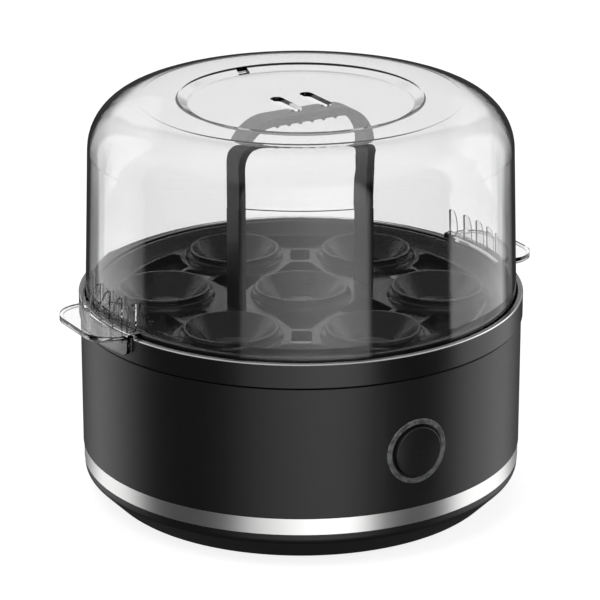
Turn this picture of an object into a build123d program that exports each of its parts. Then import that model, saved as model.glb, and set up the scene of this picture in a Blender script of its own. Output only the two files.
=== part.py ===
from build123d import *
import os
from math import cos, pi, radians, sin, sqrt, tan

os.makedirs("parts", exist_ok=True)

# Electric egg cooker for seven eggs. Millimetres, +Z up, origin on the floor under the centre.
# The push button faces -Y, the cable entry faces +Y and the lid's two ears lie along X.

# Gaps
SLIP = 0.1            # between parts that are pushed together and stay
EASE = 0.3            # between parts that lift or travel past each other
SEAT = 0.2            # between a spigot and the wall around it

# Outer stack, from the floor up
FOOT_RISE = 1.5       # floor to the flat underside
CHAMFER_RISE = 10.5   # sloped lower edge of the bottom cover
LIP_RISE = 3.5        # plain black lip under the steel band
BAND_HEIGHT = 6.7
HOUSING_HEIGHT = 54.2
RING_HEIGHT = 10.5
BODY_R = 90.0         # outside of the housing
RING_R = BODY_R + 0.6           # outside of the top ring
LIP_R = BODY_R - 0.5            # outside of the bottom cover
UNDER_R = LIP_R - CHAMFER_RISE  # flat underside
LID_R = BODY_R - 2.2            # outside of the lid at the ring's top
HOUSING_WALL = 2.4
COVER_WALL = 2.2
UNDER_BEND = 4.0      # rounding where underside and slope meet
LIP_BEND = 3.0        # rounding where slope and lip meet
COOLING_SLOTS = 12
COOLING_LENGTH = 18.0
COOLING_WIDTH = 3.0
COOLING_CIRCLE_R = 36.0

# Steel band
BAND_THICK = 0.4
BAND_R = BODY_R - 0.3

# Top ring
LEDGE_DEPTH = 5.5     # ring top down to the ledge that carries tray and lid
LEDGE_THICK = 1.8
LEDGE_INNER_R = LID_R - 10.2
RING_WALL = 1.8
RING_BEVEL = 0.4
SHADOW_GAP = 0.7      # open line between the ring's skirt and the housing
SHADOW_DEEP = 1.5
SPIGOT_DEEP = 5.0
SPIGOT_WALL = 1.6
LIP_INNER_R = LEDGE_INNER_R - 6.1   # inner lip that the dish seal presses against
LIP_THICK = 2.0
LIP_BELOW_LEDGE = 5.4

# Heating dish and what clamps it
DISH_SHEET = 0.8
DISH_FLANGE_R = LIP_INNER_R + 4.0
DISH_MOUTH_R = LIP_INNER_R - 1.5
DISH_FLOOR_R = DISH_MOUTH_R - 9.0
DISH_DEPTH = 8.6
DISH_WALL_BEND = 3.0
SEAL_THICK = 1.4
SEAL_WIDTH = 3.4
CLAMP_THICK = 1.6
CLAMP_INNER_R = DISH_FLANGE_R - 2.5
CLAMP_SCREW_R = DISH_FLANGE_R + 6.1
CLAMP_OUTER_R = CLAMP_SCREW_R + 3.0
CLAMP_SCREWS = 6
CLAMP_BOSS_R = 3.0

# Long pillars that tie ring, housing and bottom cover together
PILLARS = 4
PILLAR_CIRCLE_R = BODY_R - HOUSING_WALL - 7.0
PILLAR_R = 3.9
PILLAR_TURN = 45.0    # degrees from +X to the first pillar
PILLAR_END = 12.5     # height of the pillar foot above the underside
PILLAR_FOOT_R = UNDER_R - 5.3   # feet stand further in, so that the screw wells stay in the flat underside
PILLAR_FOOT_HEIGHT = 26.0
COVER_SCREW_LENGTH = 14.0

# Heater
SPREADER_R = 50.0
SPREADER_THICK = 2.0
ELEMENT_R = 40.0
ELEMENT_TUBE_R = 3.3
ELEMENT_SWEEP = 300.0
ELEMENT_DROP = 8.0
INSULATOR_R = 2.6
INSULATOR_LENGTH = 5.0
TAB_WIDTH = 4.8
TAB_THICK = 0.8
TAB_LENGTH = 8.0
THERMOSTAT_R = 8.5
THERMOSTAT_HEIGHT = 9.5
STRAP_WIDTH = 9.0
STRAP_THICK = 1.0
STRAP_FOOT_X = 17.0
STRAP_FOOT = 8.0
BLADE_RISE = 3.0      # thermostat blades above its foot
BLADE_REACH = 6.0
FUSE_R = 2.3
FUSE_LENGTH = 13.0
FUSE_Y = -24.0
CLIP_LENGTH = 6.0
CLIP_WING = 5.0

# Button on the front, measured outwards from the vertical axis
BUTTON_RISE = 30.5    # centre above the seam of bottom cover and band
BUTTON_PROUD = 1.2    # cap rim in front of the housing
BUTTON_TRAVEL = 2.5
CAP_R = 10.2
CAP_WALL = 1.5
CAP_DISH = 0.9        # depth of the finger hollow
CAP_LENGTH = 11.0
STEM_R = 2.4
SLEEVE_WALL = 0.7
SLEEVE_SUNK = 1.0     # holder's sleeve behind the housing's surface
LIGHT_RING_R = 13.4
LIGHT_RING_WALL = 2.2
LIGHT_RING_PROUD = 0.3
LIGHT_RING_FLANGE = 2.0
HOLDER_DEPTH = 21.0
HOLDER_PLATE = 1.6
HOLDER_PLATE_R = 16.5
HOLDER_EAR_X = 20.0
HOLDER_EAR_END = 3.4
HOLDER_BOSS_R = 3.2
HOLDER_SCREW_DEEP = 1.6
LED_RING_R = 12.7
LED_R = 1.3
LEDS = 6
SPRING_COIL_R = 4.6
SPRING_WIRE_R = 0.35
SPRING_TURNS = 6
SWITCH_SIZE = 11.0
SWITCH_LENGTH = 12.0
PLUNGER_R = 1.8

# Cable entry at the back
BUSH_RISE = 22.0      # centre above the seam of bottom cover and band
BUSH_BORE_R = 3.6
BUSH_R = 6.0
BUSH_FLANGE_R = 8.0
BUSH_FLANGE = 1.6

# Egg tray
WEB_THICK = 1.5
WEB_ABOVE_LEDGE = 2.0
TRAY_RIM_R = LID_R - 3.4
WEB_R = TRAY_RIM_R - 8.4
TRAY_RIM_RISE = 3.9   # rim above the web
TRAY_WALL = 1.5
EGG_PITCH = WEB_R - 20.2   # 55.8 with the real body, which sets the scale
EGG_CUPS = 6          # around the centre cup
CUP_TURN = 30.0
CUP_R = EGG_PITCH / 2 - 8.9
CUP_WALL = 1.3
CUP_RISE = 3.9        # cup rim above the web
CUP_FOOT_R = CUP_R + 2.2
CUP_STEP_R = CUP_R + 1.3
CUP_BAND = 0.9        # plain edge under the cup rim
CUP_NECK = 0.7        # waist under that edge
CUP_HOLE_R = CUP_R - 9.0
CUP_BOWL_R = CUP_R - 5.1   # bowl where it turns steeper, just below the web's top
CUP_BELOW = 4.5       # cup bottom below the web's top
SLOT_NEAR = EGG_PITCH - 12.8
SLOT_FAR = EGG_PITCH + 0.6
SLOT_WIDTH = 8.2
SLOT_CORNER_R = 1.5
POCKET_DEEP = 3.8
POCKET_WALL = 1.2
POCKET_GAP_R = CUP_R + 3.8      # pockets stop this far from a cup's axis
POCKET_NEAR = EGG_PITCH + 2.3    # outer pockets start here
POCKET_WIDTH = 34.0
POCKET_CORNER_R = 1.0
INNER_POCKET = ((EGG_PITCH - 37.8, 6.5), (EGG_PITCH - 29.5, 10.5), (EGG_PITCH - 15.3, 3.9))   # half outline
RIM_STEPS = ((5.0, 3.0), (2.6, 1.3))   # tray wall's step: beyond the web, above the web

# Tray handle
HANDLE_HALF_SPAN = CUP_FOOT_R + 8.8
HANDLE_THICK = 3.3
HANDLE_WIDTH = 9.8
HANDLE_TOP_RISE = 78.6   # top of the bar above the ledge
HANDLE_CORNER_R = 17.0
GROOVE_WIDTH = 1.0
GROOVE_DEEP = 0.5
GRIP_RIBS = 6
GRIP_PITCH = 5.35
GRIP_RIB_R = 0.9
GRIP_RIB_INSET = 0.3
BARB = 1.0
BARB_DROP = 2.0       # handle's ends below the tray's web

# Lid
LID_RISE = 80.5       # ring top to lid top
LID_WALL = 1.9
LID_DRAFT = 1.8       # degrees
LID_SHOULDER_R = 21.0
LID_BEAD = 0.6        # thicker foot of the wall, on the inside
BEAD_RISE = 1.6
BEAD_FADE = 3.2
RECESS_R = LID_R - 38.4
RECESS_FLOOR_R = RECESS_R - 3.8
RECESS_DEEP = 2.0
RECESS_CORNER_R = 0.8
VENT_LENGTH = 20.3
VENT_WIDTH = 5.2
VENT_X = 6.85
NOTCH_WIDTH = 5.0
NOTCH_REACH = 3.0     # through the panel's sloped edge, along the radius

# Ears of the lid
EAR_REACH = 13.8      # beyond the housing wall
EAR_ROOT_HALF = 22.5  # half width inside the lid wall
EAR_END_HALF = 20.5   # half width of the straight end
EAR_CORNER_R = 12.0
EAR_THICK = 1.9
EAR_CLEAR = 0.4       # above the ring
EAR_BEAD = 1.4
EAR_BEAD_DROP = 0.6
FIN_COUNT = 5
FIN_STEP = 6.0        # degrees
FIN_THICK = 1.2
FIN_DEPTH = 4.2
FIN_HEIGHT = 11.2
SKIRT_HALF_ANGLE = 12.3
SKIRT_WALL = 1.6
SKIRT_DROP = 7.6
SKIRT_CORNER_R = 3.0

# Screws, feet, wiring
SCREW_R = 1.5
SCREW_HEAD_R = 2.8
SCREW_HEAD_HEIGHT = 1.8
CROSS_WIDTH = 0.8
CROSS_DEEP = 1.0
FEET = 4
FOOT_R = 7.0
FOOT_CIRCLE_R = UNDER_R - 17.0
FOOT_SINK = 1.2
WIRE_R = 1.1
BLOCK_SIZE = (30.0, 14.0, 11.0)
BLOCK_Y = BODY_R - 38.0
BLOCK_GRIP = 3.0      # length of wire inside the block
EARTH_TURN = 126.25   # degrees from +X to where the earth wire meets the clamp ring
EARTH_R = CLAMP_INNER_R + 1.4

# Heights that follow from the stack
UNDER_Z = FOOT_RISE
LIP_Z = UNDER_Z + CHAMFER_RISE
BAND_Z = LIP_Z + LIP_RISE
HOUSING_Z = BAND_Z + BAND_HEIGHT
SEAM_Z = HOUSING_Z + HOUSING_HEIGHT
RING_TOP_Z = SEAM_Z + RING_HEIGHT
LEDGE_Z = RING_TOP_Z - LEDGE_DEPTH
INNER_LIP_Z = LEDGE_Z - LIP_BELOW_LEDGE
SEAL_TOP_Z = INNER_LIP_Z - LIP_THICK
FLANGE_Z = SEAL_TOP_Z - SEAL_THICK
CLAMP_TOP_Z = FLANGE_Z - DISH_SHEET
CLAMP_Z = CLAMP_TOP_Z - CLAMP_THICK
DISH_UNDER_Z = FLANGE_Z - DISH_DEPTH - DISH_SHEET
SPREADER_Z = DISH_UNDER_Z - SPREADER_THICK
ELEMENT_Z = SPREADER_Z - ELEMENT_TUBE_R
COVER_FLOOR_Z = UNDER_Z + COVER_WALL
PILLAR_Z = UNDER_Z + PILLAR_END
BUTTON_Z = BAND_Z + BUTTON_RISE
BUSH_Z = BAND_Z + BUSH_RISE
WEB_Z = LEDGE_Z + WEB_ABOVE_LEDGE
LID_TOP_Z = RING_TOP_Z + LID_RISE
EAR_Z = RING_TOP_Z + EAR_CLEAR

# Radii that follow from the walls
HOUSING_INNER_R = BODY_R - HOUSING_WALL
RING_INNER_R = LID_R + LEDGE_DEPTH * tan(radians(LID_DRAFT)) + EASE
RING_SPIGOT_R = HOUSING_INNER_R - SEAT
COVER_SPIGOT_R = HOUSING_INNER_R - SEAT
WALL_OUTER_R = LEDGE_INNER_R + RING_WALL

# The button's stack, as distances from the vertical axis
CAP_FACE = BODY_R + BUTTON_PROUD
HOLDER_FACE = sqrt(HOUSING_INNER_R ** 2 - (LIGHT_RING_R + SEAT) ** 2) - LIGHT_RING_WALL
HOLDER_BACK = HOLDER_FACE - HOLDER_DEPTH + LIGHT_RING_WALL
SLEEVE_BORE_R = CAP_R + EASE
SLEEVE_R = SLEEVE_BORE_R + SLEEVE_WALL
LED_BOARD_THICK = 1.6
LED_BOARD_FACE = HOLDER_FACE - HOLDER_PLATE - LED_BOARD_THICK


def section(*corners):
    """Flat face through corners (x, y) or (x, y, corner radius)."""
    points = [corner[:2] for corner in corners]
    radii = [corner[2] if len(corner) > 2 else 0 for corner in corners]
    if not any(radii):
        return make_face(Polyline(*points, close=True))
    return make_face(FilletPolyline(*points, radius=radii, close=True))


def turned(*corners):
    """Solid of revolution about Z from corners (radius, height)."""
    return revolve(Plane.XZ * section(*corners), Axis.Z)


def disc(radius, low, high):
    """Upright cylinder about Z between two heights."""
    return Pos(0, 0, low) * extrude(Circle(radius), high - low)


def ring(inner, outer, low, high):
    """Upright tube about Z between two heights."""
    return Pos(0, 0, low) * extrude(Circle(outer) - Circle(inner), high - low)


def around(count, radius, turn=0.0):
    """Places on a circle, each turned to face outwards."""
    return [Rot(0, 0, turn + 360.0 / count * step) * Pos(radius, 0, 0) for step in range(count)]


def front(shape):
    """Turn a shape built along +Z so that it points out of the front, on the button's axis."""
    return Pos(0, 0, BUTTON_Z) * Rot(90, 0, 0) * shape


def screw(length):
    """Pan head screw with a cross recess: head down, shank up, seat at z = 0."""
    head = Pos(0, 0, -SCREW_HEAD_HEIGHT) * extrude(Circle(SCREW_HEAD_R), SCREW_HEAD_HEIGHT)
    head = fillet(head.edges().group_by(Axis.Z)[0], SCREW_HEAD_HEIGHT / 2)
    arm = Box(SCREW_HEAD_R * 1.3, CROSS_WIDTH, 2 * CROSS_DEEP)
    cross = Pos(0, 0, -SCREW_HEAD_HEIGHT) * (arm + Rot(0, 0, 90) * arm)
    shank = extrude(Circle(SCREW_R), length)
    shank = chamfer(shank.edges().group_by(Axis.Z)[-1], SCREW_R / 2)
    return head + shank - cross


def lead(points, radii):
    """Insulated wire along straight runs and tangent arcs."""
    path = FilletPolyline(*points, radius=radii)
    start = Plane(origin=path @ 0, z_dir=path % 0)
    wire = sweep(start * Circle(WIRE_R), path=path)
    print("wire volume ratio", round(wire.volume / (path.length * pi * WIRE_R ** 2), 4))
    return wire


def save(node, *shapes):
    """Write one node, as one solid or as a group of separate solids."""
    solids = [solid for shape in shapes for solid in shape.solids()]
    whole = solids[0] if len(solids) == 1 else Compound(solids)
    export_step(whole, f"parts/{node}.step")


# Base: shells

def outer_housing():
    """Round black wall between the steel band and the top ring."""
    wall = turned((HOUSING_INNER_R, HOUSING_Z), (BODY_R, HOUSING_Z, 0.4), (BODY_R, SEAM_Z, 0.5),
                  (HOUSING_INNER_R, SEAM_Z))
    core = disc(HOUSING_INNER_R + HOUSING_WALL / 2, HOUSING_Z, SEAM_Z)
    for side in (-1, 1):
        boss = Pos(side * HOLDER_EAR_X, 0, HOLDER_FACE) * extrude(Circle(HOLDER_BOSS_R), 2 * HOUSING_WALL)
        wall += front(boss) & core
        hole = Pos(side * HOLDER_EAR_X, 0, HOLDER_FACE - 1) * extrude(Circle(SCREW_R), HOLDER_SCREW_DEEP + 1)
        wall -= front(hole)
    wall -= front(extrude(Circle(LIGHT_RING_R + SLIP), BODY_R * 2))
    wall -= Pos(0, 0, BUSH_Z) * Rot(-90, 0, 0) * extrude(Circle(BUSH_R + SLIP), BODY_R * 2)
    return wall


def pan_ring():
    """Top ring: ledge for tray and lid, seat for the dish seal, pillars for the cover screws."""
    body = turned(
        (RING_SPIGOT_R, SEAM_Z), (BODY_R - SHADOW_DEEP, SEAM_Z), (BODY_R - SHADOW_DEEP, SEAM_Z + SHADOW_GAP),
        (RING_R, SEAM_Z + SHADOW_GAP, 0.2), (RING_R, RING_TOP_Z - RING_BEVEL, 0.2),
        (RING_R - RING_BEVEL, RING_TOP_Z, 0.2), (RING_INNER_R, RING_TOP_Z, 0.3),
        (RING_INNER_R, LEDGE_Z), (LEDGE_INNER_R, LEDGE_Z, 0.4), (LEDGE_INNER_R, INNER_LIP_Z),
        (LIP_INNER_R, INNER_LIP_Z, 0.4), (LIP_INNER_R, SEAL_TOP_Z), (WALL_OUTER_R, SEAL_TOP_Z),
        (WALL_OUTER_R, LEDGE_Z - LEDGE_THICK), (RING_SPIGOT_R - SPIGOT_WALL, LEDGE_Z - LEDGE_THICK),
        (RING_SPIGOT_R - SPIGOT_WALL, SEAM_Z - SPIGOT_DEEP), (RING_SPIGOT_R, SEAM_Z - SPIGOT_DEEP))
    ledge_middle = LEDGE_Z - LEDGE_THICK / 2
    for place in around(CLAMP_SCREWS, CLAMP_SCREW_R):
        body += place * disc(CLAMP_BOSS_R, CLAMP_TOP_Z, ledge_middle)
        body -= place * disc(SCREW_R, CLAMP_TOP_Z - 1, CLAMP_TOP_Z + SPIGOT_DEEP)
    lip_middle = INNER_LIP_Z - LIP_THICK / 2
    step = PILLAR_CIRCLE_R - PILLAR_FOOT_R
    foot = extrude(SlotCenterToCenter(step, 2 * PILLAR_R), PILLAR_FOOT_HEIGHT)
    for place in around(PILLARS, PILLAR_CIRCLE_R, PILLAR_TURN):
        body += place * disc(PILLAR_R, PILLAR_Z + PILLAR_FOOT_HEIGHT / 2, lip_middle)
        body += place * Pos(-step / 2, 0, PILLAR_Z) * foot
    for place in around(PILLARS, PILLAR_FOOT_R, PILLAR_TURN):
        body -= place * disc(SCREW_R, PILLAR_Z - 1, PILLAR_Z + COVER_SCREW_LENGTH)
    return body


def steel_band():
    """Bright band around the bottom cover."""
    return ring(BAND_R - BAND_THICK, BAND_R, BAND_Z, HOUSING_Z)


def bottom_cover():
    """Black underside with a sloped edge, seat for the band, spigot, vents and screw wells."""
    groove_r = BAND_R - BAND_THICK - SLIP
    spigot_in = COVER_SPIGOT_R - SPIGOT_WALL
    spigot_top = HOUSING_Z + SPIGOT_DEEP
    slope = (LIP_R - UNDER_R) / CHAMFER_RISE
    floor_r = UNDER_R - COVER_WALL * (sqrt(1 + slope ** 2) - slope)
    corner_z = COVER_FLOOR_Z + (spigot_in - floor_r) / slope
    bowl = turned((0, UNDER_Z), (UNDER_R, UNDER_Z, UNDER_BEND), (LIP_R, LIP_Z, LIP_BEND),
                  (LIP_R, BAND_Z, LIP_BEND / 10), (0, BAND_Z))
    body = bowl + turned((0, LIP_Z), (groove_r, LIP_Z), (groove_r, HOUSING_Z), (COVER_SPIGOT_R, HOUSING_Z),
                         (COVER_SPIGOT_R, spigot_top), (0, spigot_top))
    body -= turned((0, COVER_FLOOR_Z), (floor_r, COVER_FLOOR_Z), (spigot_in, corner_z),
                   (spigot_in, spigot_top + 1), (0, spigot_top + 1))
    inside = bowl & disc(spigot_in + SPIGOT_WALL / 2, UNDER_Z, PILLAR_Z)
    for place in around(PILLARS, PILLAR_FOOT_R, PILLAR_TURN):
        body += place * disc(PILLAR_R + SPIGOT_WALL, UNDER_Z, PILLAR_Z) & inside
        body -= place * disc(SCREW_HEAD_R + EASE, 0, PILLAR_Z - COVER_WALL)
        body -= place * disc(SCREW_R + SLIP, 0, PILLAR_Z + 1)
    for place in around(FEET, FOOT_CIRCLE_R):
        body -= place * disc(FOOT_R, 0, UNDER_Z + FOOT_SINK)
    vent = Pos(0, 0, UNDER_Z - 1) * extrude(SlotOverall(COOLING_LENGTH, COOLING_WIDTH), COVER_WALL + 2)
    for place in around(COOLING_SLOTS, COOLING_CIRCLE_R):
        body -= place * vent
    return body


def rubber_feet():
    """Four round feet pressed into the cover."""
    foot = disc(FOOT_R - SLIP, 0, UNDER_Z + FOOT_SINK)
    foot = chamfer(foot.edges().group_by(Axis.Z)[0], 0.4)
    return [place * foot for place in around(FEET, FOOT_CIRCLE_R)]


def cover_screws():
    """Screws from below through the cover into the pillars."""
    one = Pos(0, 0, PILLAR_Z - COVER_WALL) * screw(COVER_SCREW_LENGTH)
    return [place * one for place in around(PILLARS, PILLAR_FOOT_R, PILLAR_TURN)]


# Base: heating

def heating_dish():
    """Bright steel dish that holds the water."""
    floor_z = FLANGE_Z - DISH_DEPTH
    return turned(
        (0, floor_z), (DISH_FLOOR_R, floor_z, DISH_WALL_BEND), (DISH_MOUTH_R, FLANGE_Z, DISH_WALL_BEND),
        (DISH_FLANGE_R, FLANGE_Z), (DISH_FLANGE_R, FLANGE_Z - DISH_SHEET),
        (DISH_MOUTH_R + DISH_SHEET * 0.4, FLANGE_Z - DISH_SHEET, DISH_WALL_BEND - DISH_SHEET),
        (DISH_FLOOR_R + DISH_SHEET * 0.4, floor_z - DISH_SHEET, DISH_WALL_BEND + DISH_SHEET),
        (0, floor_z - DISH_SHEET))


def dish_seal():
    """Silicone ring between dish flange and top ring."""
    inner = DISH_FLANGE_R - SEAL_WIDTH
    return ring(inner, DISH_FLANGE_R, FLANGE_Z, SEAL_TOP_Z)


def dish_clamp_ring():
    """Pressed steel ring that holds the dish up against the seal."""
    body = ring(CLAMP_INNER_R, CLAMP_OUTER_R, CLAMP_Z, CLAMP_TOP_Z)
    for place in around(CLAMP_SCREWS, CLAMP_SCREW_R):
        body -= place * disc(SCREW_R + SLIP, CLAMP_Z - 1, CLAMP_TOP_Z + 1)
    for place in around(PILLARS, PILLAR_CIRCLE_R, PILLAR_TURN):
        notch = extrude(SlotOverall(4 * PILLAR_R, 2 * (PILLAR_R + EASE)), CLAMP_THICK * 2)
        body -= place * Pos(PILLAR_R, 0, CLAMP_Z - CLAMP_THICK / 2) * notch
    return body


def clamp_screws():
    """Six short screws through the clamp ring into the top ring's bosses."""
    one = Pos(0, 0, CLAMP_Z) * screw(CLAMP_THICK + SPIGOT_DEEP - 1)
    return [place * one for place in around(CLAMP_SCREWS, CLAMP_SCREW_R)]


def heat_spreader():
    """Aluminium disc pressed against the dish."""
    return disc(SPREADER_R, SPREADER_Z, DISH_UNDER_Z)


def element_ends():
    """Angle of each cold end of the element, either side of -X."""
    gap = (360.0 - ELEMENT_SWEEP) / 2
    return 180.0 - gap, 180.0 + gap


def heating_element():
    """Tubular ring under the spreader with both ends turned down."""
    first, last = element_ends()
    path = CenterArc((0, 0, ELEMENT_Z), ELEMENT_R, last, ELEMENT_SWEEP)
    start = Plane(origin=path @ 0, z_dir=path % 0)
    body = sweep(start * Circle(ELEMENT_TUBE_R), path=path)
    for angle in (first, last):
        place = Rot(0, 0, angle) * Pos(ELEMENT_R, 0, ELEMENT_Z)
        body += place * Sphere(ELEMENT_TUBE_R)
        body += place * Pos(0, 0, -ELEMENT_DROP) * extrude(Circle(ELEMENT_TUBE_R), ELEMENT_DROP)
    return body


def element_insulators():
    """Ceramic beads on the element's cold ends."""
    low = ELEMENT_Z - ELEMENT_DROP - INSULATOR_LENGTH
    bead = disc(INSULATOR_R, low, low + INSULATOR_LENGTH)
    return [Rot(0, 0, angle) * Pos(ELEMENT_R, 0, 0) * bead for angle in element_ends()]


def element_tabs():
    """Flat terminals below the ceramic beads."""
    top = ELEMENT_Z - ELEMENT_DROP - INSULATOR_LENGTH
    blade = Pos(0, 0, top - TAB_LENGTH / 2) * Box(TAB_THICK, TAB_WIDTH, TAB_LENGTH)
    return [Rot(0, 0, angle) * Pos(ELEMENT_R, 0, 0) * blade for angle in element_ends()]


def thermostat():
    """Snap disc thermostat under the spreader's centre, with a blade on each side."""
    low = SPREADER_Z - THERMOSTAT_HEIGHT
    body = disc(THERMOSTAT_R, low, SPREADER_Z)
    body = fillet(body.edges().group_by(Axis.Z)[0], 1.0)
    middle = THERMOSTAT_R - 1 + BLADE_REACH / 2
    for side in (-1, 1):
        body += Pos(0, side * middle, low + BLADE_RISE) * Box(TAB_WIDTH, BLADE_REACH, TAB_THICK)
    return body


def thermostat_bracket():
    """Sheet strap that carries the thermostat, hung on two screws in the spreader."""
    low = SPREADER_Z - THERMOSTAT_HEIGHT - STRAP_THICK
    leg = SPREADER_Z - low
    foot_end = STRAP_FOOT_X + STRAP_FOOT
    strap = Pos(0, 0, low + STRAP_THICK / 2) * Box(2 * STRAP_FOOT_X, STRAP_WIDTH, STRAP_THICK)
    for side in (-1, 1):
        x = side * (STRAP_FOOT_X - STRAP_THICK / 2)
        strap += Pos(x, 0, low + leg / 2) * Box(STRAP_THICK, STRAP_WIDTH, leg)
        foot = Pos(side * (STRAP_FOOT_X + foot_end) / 2, 0, SPREADER_Z - STRAP_THICK / 2)
        strap += foot * Box(STRAP_FOOT + STRAP_THICK, STRAP_WIDTH, STRAP_THICK)
        hole = disc(SCREW_R + SLIP, SPREADER_Z - 2, SPREADER_Z + 1)
        strap -= Pos(side * (foot_end - STRAP_FOOT / 2), 0, 0) * hole
    return strap


def bracket_screws():
    """Two screws that end flush in the strap's feet."""
    x = STRAP_FOOT_X + STRAP_FOOT / 2
    one = Pos(0, 0, SPREADER_Z - STRAP_THICK) * screw(STRAP_THICK)
    return [Pos(side * x, 0, 0) * one for side in (-1, 1)]


def fuse_clip():
    """Sprung sheet clip that presses the thermal fuse to the spreader."""
    clip_r = FUSE_R + SLIP
    outside = clip_r + STRAP_THICK
    middle = SPREADER_Z - clip_r
    shell = Circle(outside) + Pos(0, clip_r / 2) * Rectangle(2 * outside, clip_r)
    shell -= Circle(clip_r) + Pos(0, outside / 2) * Rectangle(2 * clip_r, outside)
    clip = extrude(shell, CLIP_LENGTH / 2, both=True)
    clip = Pos(0, FUSE_Y, middle) * Rot(0, 0, 90) * Rot(90, 0, 0) * clip
    wing = Box(CLIP_LENGTH, CLIP_WING, STRAP_THICK)
    for side in (-1, 1):
        y = FUSE_Y + side * (outside + (CLIP_WING - STRAP_THICK) / 2)
        clip += Pos(0, y, SPREADER_Z - STRAP_THICK / 2) * wing
    return clip


def thermal_fuse():
    """One-shot fuse in its sleeve."""
    body = extrude(Circle(FUSE_R), FUSE_LENGTH / 2, both=True)
    return Pos(0, FUSE_Y, SPREADER_Z - FUSE_R - SLIP) * Rot(0, 90, 0) * body


# Base: button, light and switch

def light_ring():
    """Translucent ring around the button, its face curved like the housing."""
    inner = LIGHT_RING_R - LIGHT_RING_WALL
    tube = extrude(Circle(LIGHT_RING_R) - Circle(inner), BODY_R)
    flange = extrude(Circle(LIGHT_RING_R + LIGHT_RING_FLANGE) - Circle(inner), HOLDER_PLATE)
    core = disc(BODY_R + LIGHT_RING_PROUD, BUTTON_Z - 2 * LIGHT_RING_R, BUTTON_Z + 2 * LIGHT_RING_R)
    body = front(Pos(0, 0, HOLDER_FACE) * (tube + flange)) & core
    return fillet(body.edges().sort_by(Axis.Y)[:2], 0.3)


def holder_outline():
    """Round plate with an ear on each side, as a flat face."""
    ears = SlotOverall(2 * (HOLDER_EAR_X + HOLDER_EAR_END), 2 * HOLDER_EAR_END)
    return Circle(HOLDER_PLATE_R) + ears


def button_holder():
    """Sleeve that guides the cap, with a plate for the lights and ears for two screws."""
    sleeve = Pos(0, 0, HOLDER_BACK) * extrude(Circle(SLEEVE_R - SLIP), BODY_R - SLEEVE_SUNK - HOLDER_BACK)
    sleeve -= Pos(0, 0, HOLDER_BACK + HOLDER_PLATE) * extrude(Circle(SLEEVE_BORE_R), BODY_R)
    low = HOLDER_FACE - HOLDER_PLATE
    plate = Pos(0, 0, low) * extrude(holder_outline() - Circle(SLEEVE_BORE_R), HOLDER_PLATE)
    window = Pos(0, 0, low - 1) * extrude(Circle(LED_R + SLIP), HOLDER_PLATE + 2)
    body = sleeve + plate
    for place in around(LEDS, LED_RING_R):
        body -= place * window
    for side in (-1, 1):
        body -= Pos(side * HOLDER_EAR_X, 0, 0) * extrude(Circle(SCREW_R + SLIP), BODY_R)
    body -= extrude(Circle(STEM_R + EASE), BODY_R)
    return front(body)


def led_board():
    """Ring shaped circuit board behind the light ring."""
    plate = holder_outline() - Circle(SLEEVE_R + SLIP)
    body = Pos(0, 0, LED_BOARD_FACE) * extrude(plate, LED_BOARD_THICK)
    for side in (-1, 1):
        body -= Pos(side * HOLDER_EAR_X, 0, 0) * extrude(Circle(SCREW_R + SLIP), BODY_R)
    return front(body)


def leds():
    """Lights that stand in the holder's windows."""
    one = extrude(Circle(LED_R), HOLDER_PLATE - SLIP)
    face = LED_BOARD_FACE + LED_BOARD_THICK
    return [front(place * Pos(0, 0, face) * one) for place in around(LEDS, LED_RING_R)]


def holder_screws():
    """Two screws through board and holder into the housing's bosses."""
    one = Pos(0, 0, LED_BOARD_FACE) * screw(LED_BOARD_THICK + HOLDER_PLATE + HOLDER_SCREW_DEEP)
    return [front(Pos(side * HOLDER_EAR_X, 0, 0) * one) for side in (-1, 1)]


def switch_body():
    """Push switch behind the holder, open at the front for its plunger."""
    low = HOLDER_BACK - SWITCH_LENGTH
    body = extrude(RectangleRounded(SWITCH_SIZE, SWITCH_SIZE, 1.0), SWITCH_LENGTH)
    well = BUTTON_TRAVEL + CAP_LENGTH / 2
    body -= Pos(0, 0, SWITCH_LENGTH - well) * extrude(Circle(PLUNGER_R + EASE), well)
    return front(Pos(0, 0, low) * body)


def switch_blades():
    """Two flat terminals at the back of the switch."""
    low = HOLDER_BACK - SWITCH_LENGTH - TAB_LENGTH
    blade = Pos(0, 0, low + TAB_LENGTH / 2) * Box(TAB_THICK, TAB_WIDTH, TAB_LENGTH)
    return [front(Pos(side * SWITCH_SIZE / 4, 0, 0) * blade) for side in (-1, 1)]


# Button: what travels

def button_cap():
    """Dished round cap with a stem towards the switch."""
    low = CAP_FACE - CAP_LENGTH
    body = Pos(0, 0, low) * extrude(Circle(CAP_R), CAP_LENGTH)
    body = fillet(body.edges().group_by(Axis.Z)[-1], 0.6)
    ball_r = (CAP_R ** 2 + CAP_DISH ** 2) / (2 * CAP_DISH)
    body -= Pos(0, 0, CAP_FACE + ball_r - CAP_DISH) * Sphere(ball_r)
    body -= Pos(0, 0, low - 1) * extrude(Circle(CAP_R - CAP_WALL), CAP_LENGTH + 1 - CAP_DISH - CAP_WALL)
    stem_end = HOLDER_BACK + HOLDER_PLATE + BUTTON_TRAVEL + EASE
    stem = Pos(0, 0, stem_end) * extrude(Circle(STEM_R), CAP_FACE - CAP_DISH - CAP_WALL / 2 - stem_end)
    return front(body + stem)


def switch_plunger():
    """Switch plunger that the cap's stem bears on."""
    stem_end = HOLDER_BACK + HOLDER_PLATE + BUTTON_TRAVEL + EASE
    low = HOLDER_BACK - CAP_LENGTH / 2 + EASE
    return front(Pos(0, 0, low) * extrude(Circle(PLUNGER_R), stem_end - low))


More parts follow.
